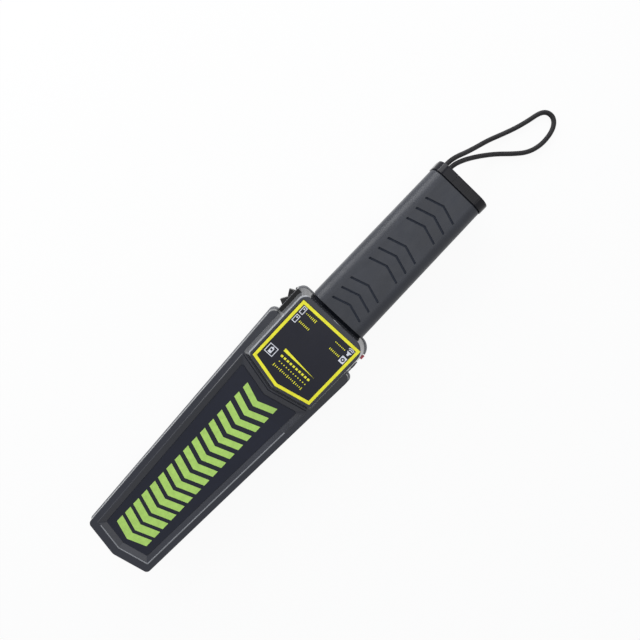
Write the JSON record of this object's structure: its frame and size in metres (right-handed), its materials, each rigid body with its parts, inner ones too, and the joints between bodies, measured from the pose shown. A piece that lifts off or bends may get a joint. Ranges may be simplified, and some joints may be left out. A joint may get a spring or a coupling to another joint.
{
  "type": "hand-held metal detector",
  "caption": "Security wand: flat tapered search blade, raised control block with side switches, grooved tube handle, sliding battery door and wrist loop.",
  "frame": {"origin": "bottom centre of the bounding box without the wrist loop: half-way along the wand, on its middle plane, at the back face of the control block", "axes": "+X from the blade's tip to the handle's end, +Y to the side with the two rocker switches, +Z out of the front face"},
  "size_m": [0.5016, 0.0856, 0.045],
  "materials": {
    "housing_plastic": "fine grain",
    "handle_plastic": "fine grain, grooved for grip",
    "cap_plastic": "satin",
    "decal_print": "printed sheet with green graphics",
    "label_print": "printed sheet with yellow border",
    "former_plastic": "natural",
    "coil_copper": "enamelled wire winding",
    "wire_insulation": "red and black insulation",
    "board_laminate": "solder mask",
    "chip_plastic": "moulded",
    "capacitor_can": "sleeved can",
    "trimmer_plastic": "moulded",
    "connector_plastic": "natural",
    "screw_steel": "zinc plated",
    "speaker_metal": "pressed basket and magnet",
    "motor_steel": "drawn can",
    "weight_brass": "turned",
    "bezel_plastic": "polished",
    "switch_plastic": "moulded",
    "rocker_plastic": "moulded",
    "terminal_brass": "tinned",
    "selector_steel": "folded sheet",
    "knob_red": "moulded",
    "jack_plastic": "moulded",
    "battery_jacket": "printed metal jacket",
    "snap_plastic": "vinyl",
    "foam": "cellular foam",
    "lanyard_braid": "braided cord"
  },
  "bodies": {
    "housing": {"front_shell": "housing_plastic", "back_shell": "housing_plastic", "handle_grip": "handle_plastic", "end_collar": "cap_plastic", "blade_decal": "decal_print", "panel_label": "label_print", "coil_former": "former_plastic", "search_coil": "coil_copper", "coil_leads": "wire_insulation", "speaker_leads": "wire_insulation", "motor_leads": "wire_insulation", "battery_leads": "wire_insulation", "circuit_board": "board_laminate", "board_chips": "chip_plastic", "board_capacitors": "capacitor_can", "board_trimmers": "trimmer_plastic", "board_headers": "connector_plastic", "board_screws": "screw_steel", "block_screws": "screw_steel", "blade_screws": "screw_steel", "collar_screw": "screw_steel", "speaker": "speaker_metal", "motor_case": "motor_steel", "switch_bezel": "bezel_plastic", "power_switch_body": "switch_plastic", "sensitivity_switch_body": "switch_plastic", "switch_terminals": "terminal_brass", "selector_body": "selector_steel", "charge_jack": "jack_plastic", "battery": "battery_jacket", "battery_snap": "snap_plastic", "battery_pad": "foam", "lanyard_cord": "lanyard_braid", "lanyard_knot": "lanyard_braid"},
    "power_rocker": {"power_rocker": "rocker_plastic"},
    "sensitivity_rocker": {"sensitivity_rocker": "rocker_plastic"},
    "selector_knob": {"selector_knob": "knob_red"},
    "battery_door": {"battery_door": "cap_plastic"},
    "motor_weight": {"motor_weight": "weight_brass"}
  },
  "joints": [
    {"name": "power_rocker_tilt", "type": "hinge", "parent": "housing", "child": "power_rocker", "pos_m": [0.0512, 0.0346, 0.0277], "axis": [0, 0, 1], "range_deg": [0, 28]},
    {"name": "sensitivity_rocker_tilt", "type": "hinge", "parent": "housing", "child": "sensitivity_rocker", "pos_m": [0.0512, 0.0346, 0.0173], "axis": [0, 0, 1], "range_deg": [-28, 0]},
    {"name": "selector_slide", "type": "slide", "parent": "housing", "child": "selector_knob", "axis": [1, 0, 0], "range_m": [-0.0034, 0]},
    {"name": "battery_door_slide", "type": "slide", "parent": "housing", "child": "battery_door", "axis": [0, -1, 0], "range_m": [0, 0.03]},
    {"name": "motor_spin", "type": "hinge", "parent": "housing", "child": "motor_weight", "pos_m": [0.0281, -0.0225, 0.0094], "axis": [1, 0, 0], "continuous": true}
  ]
}
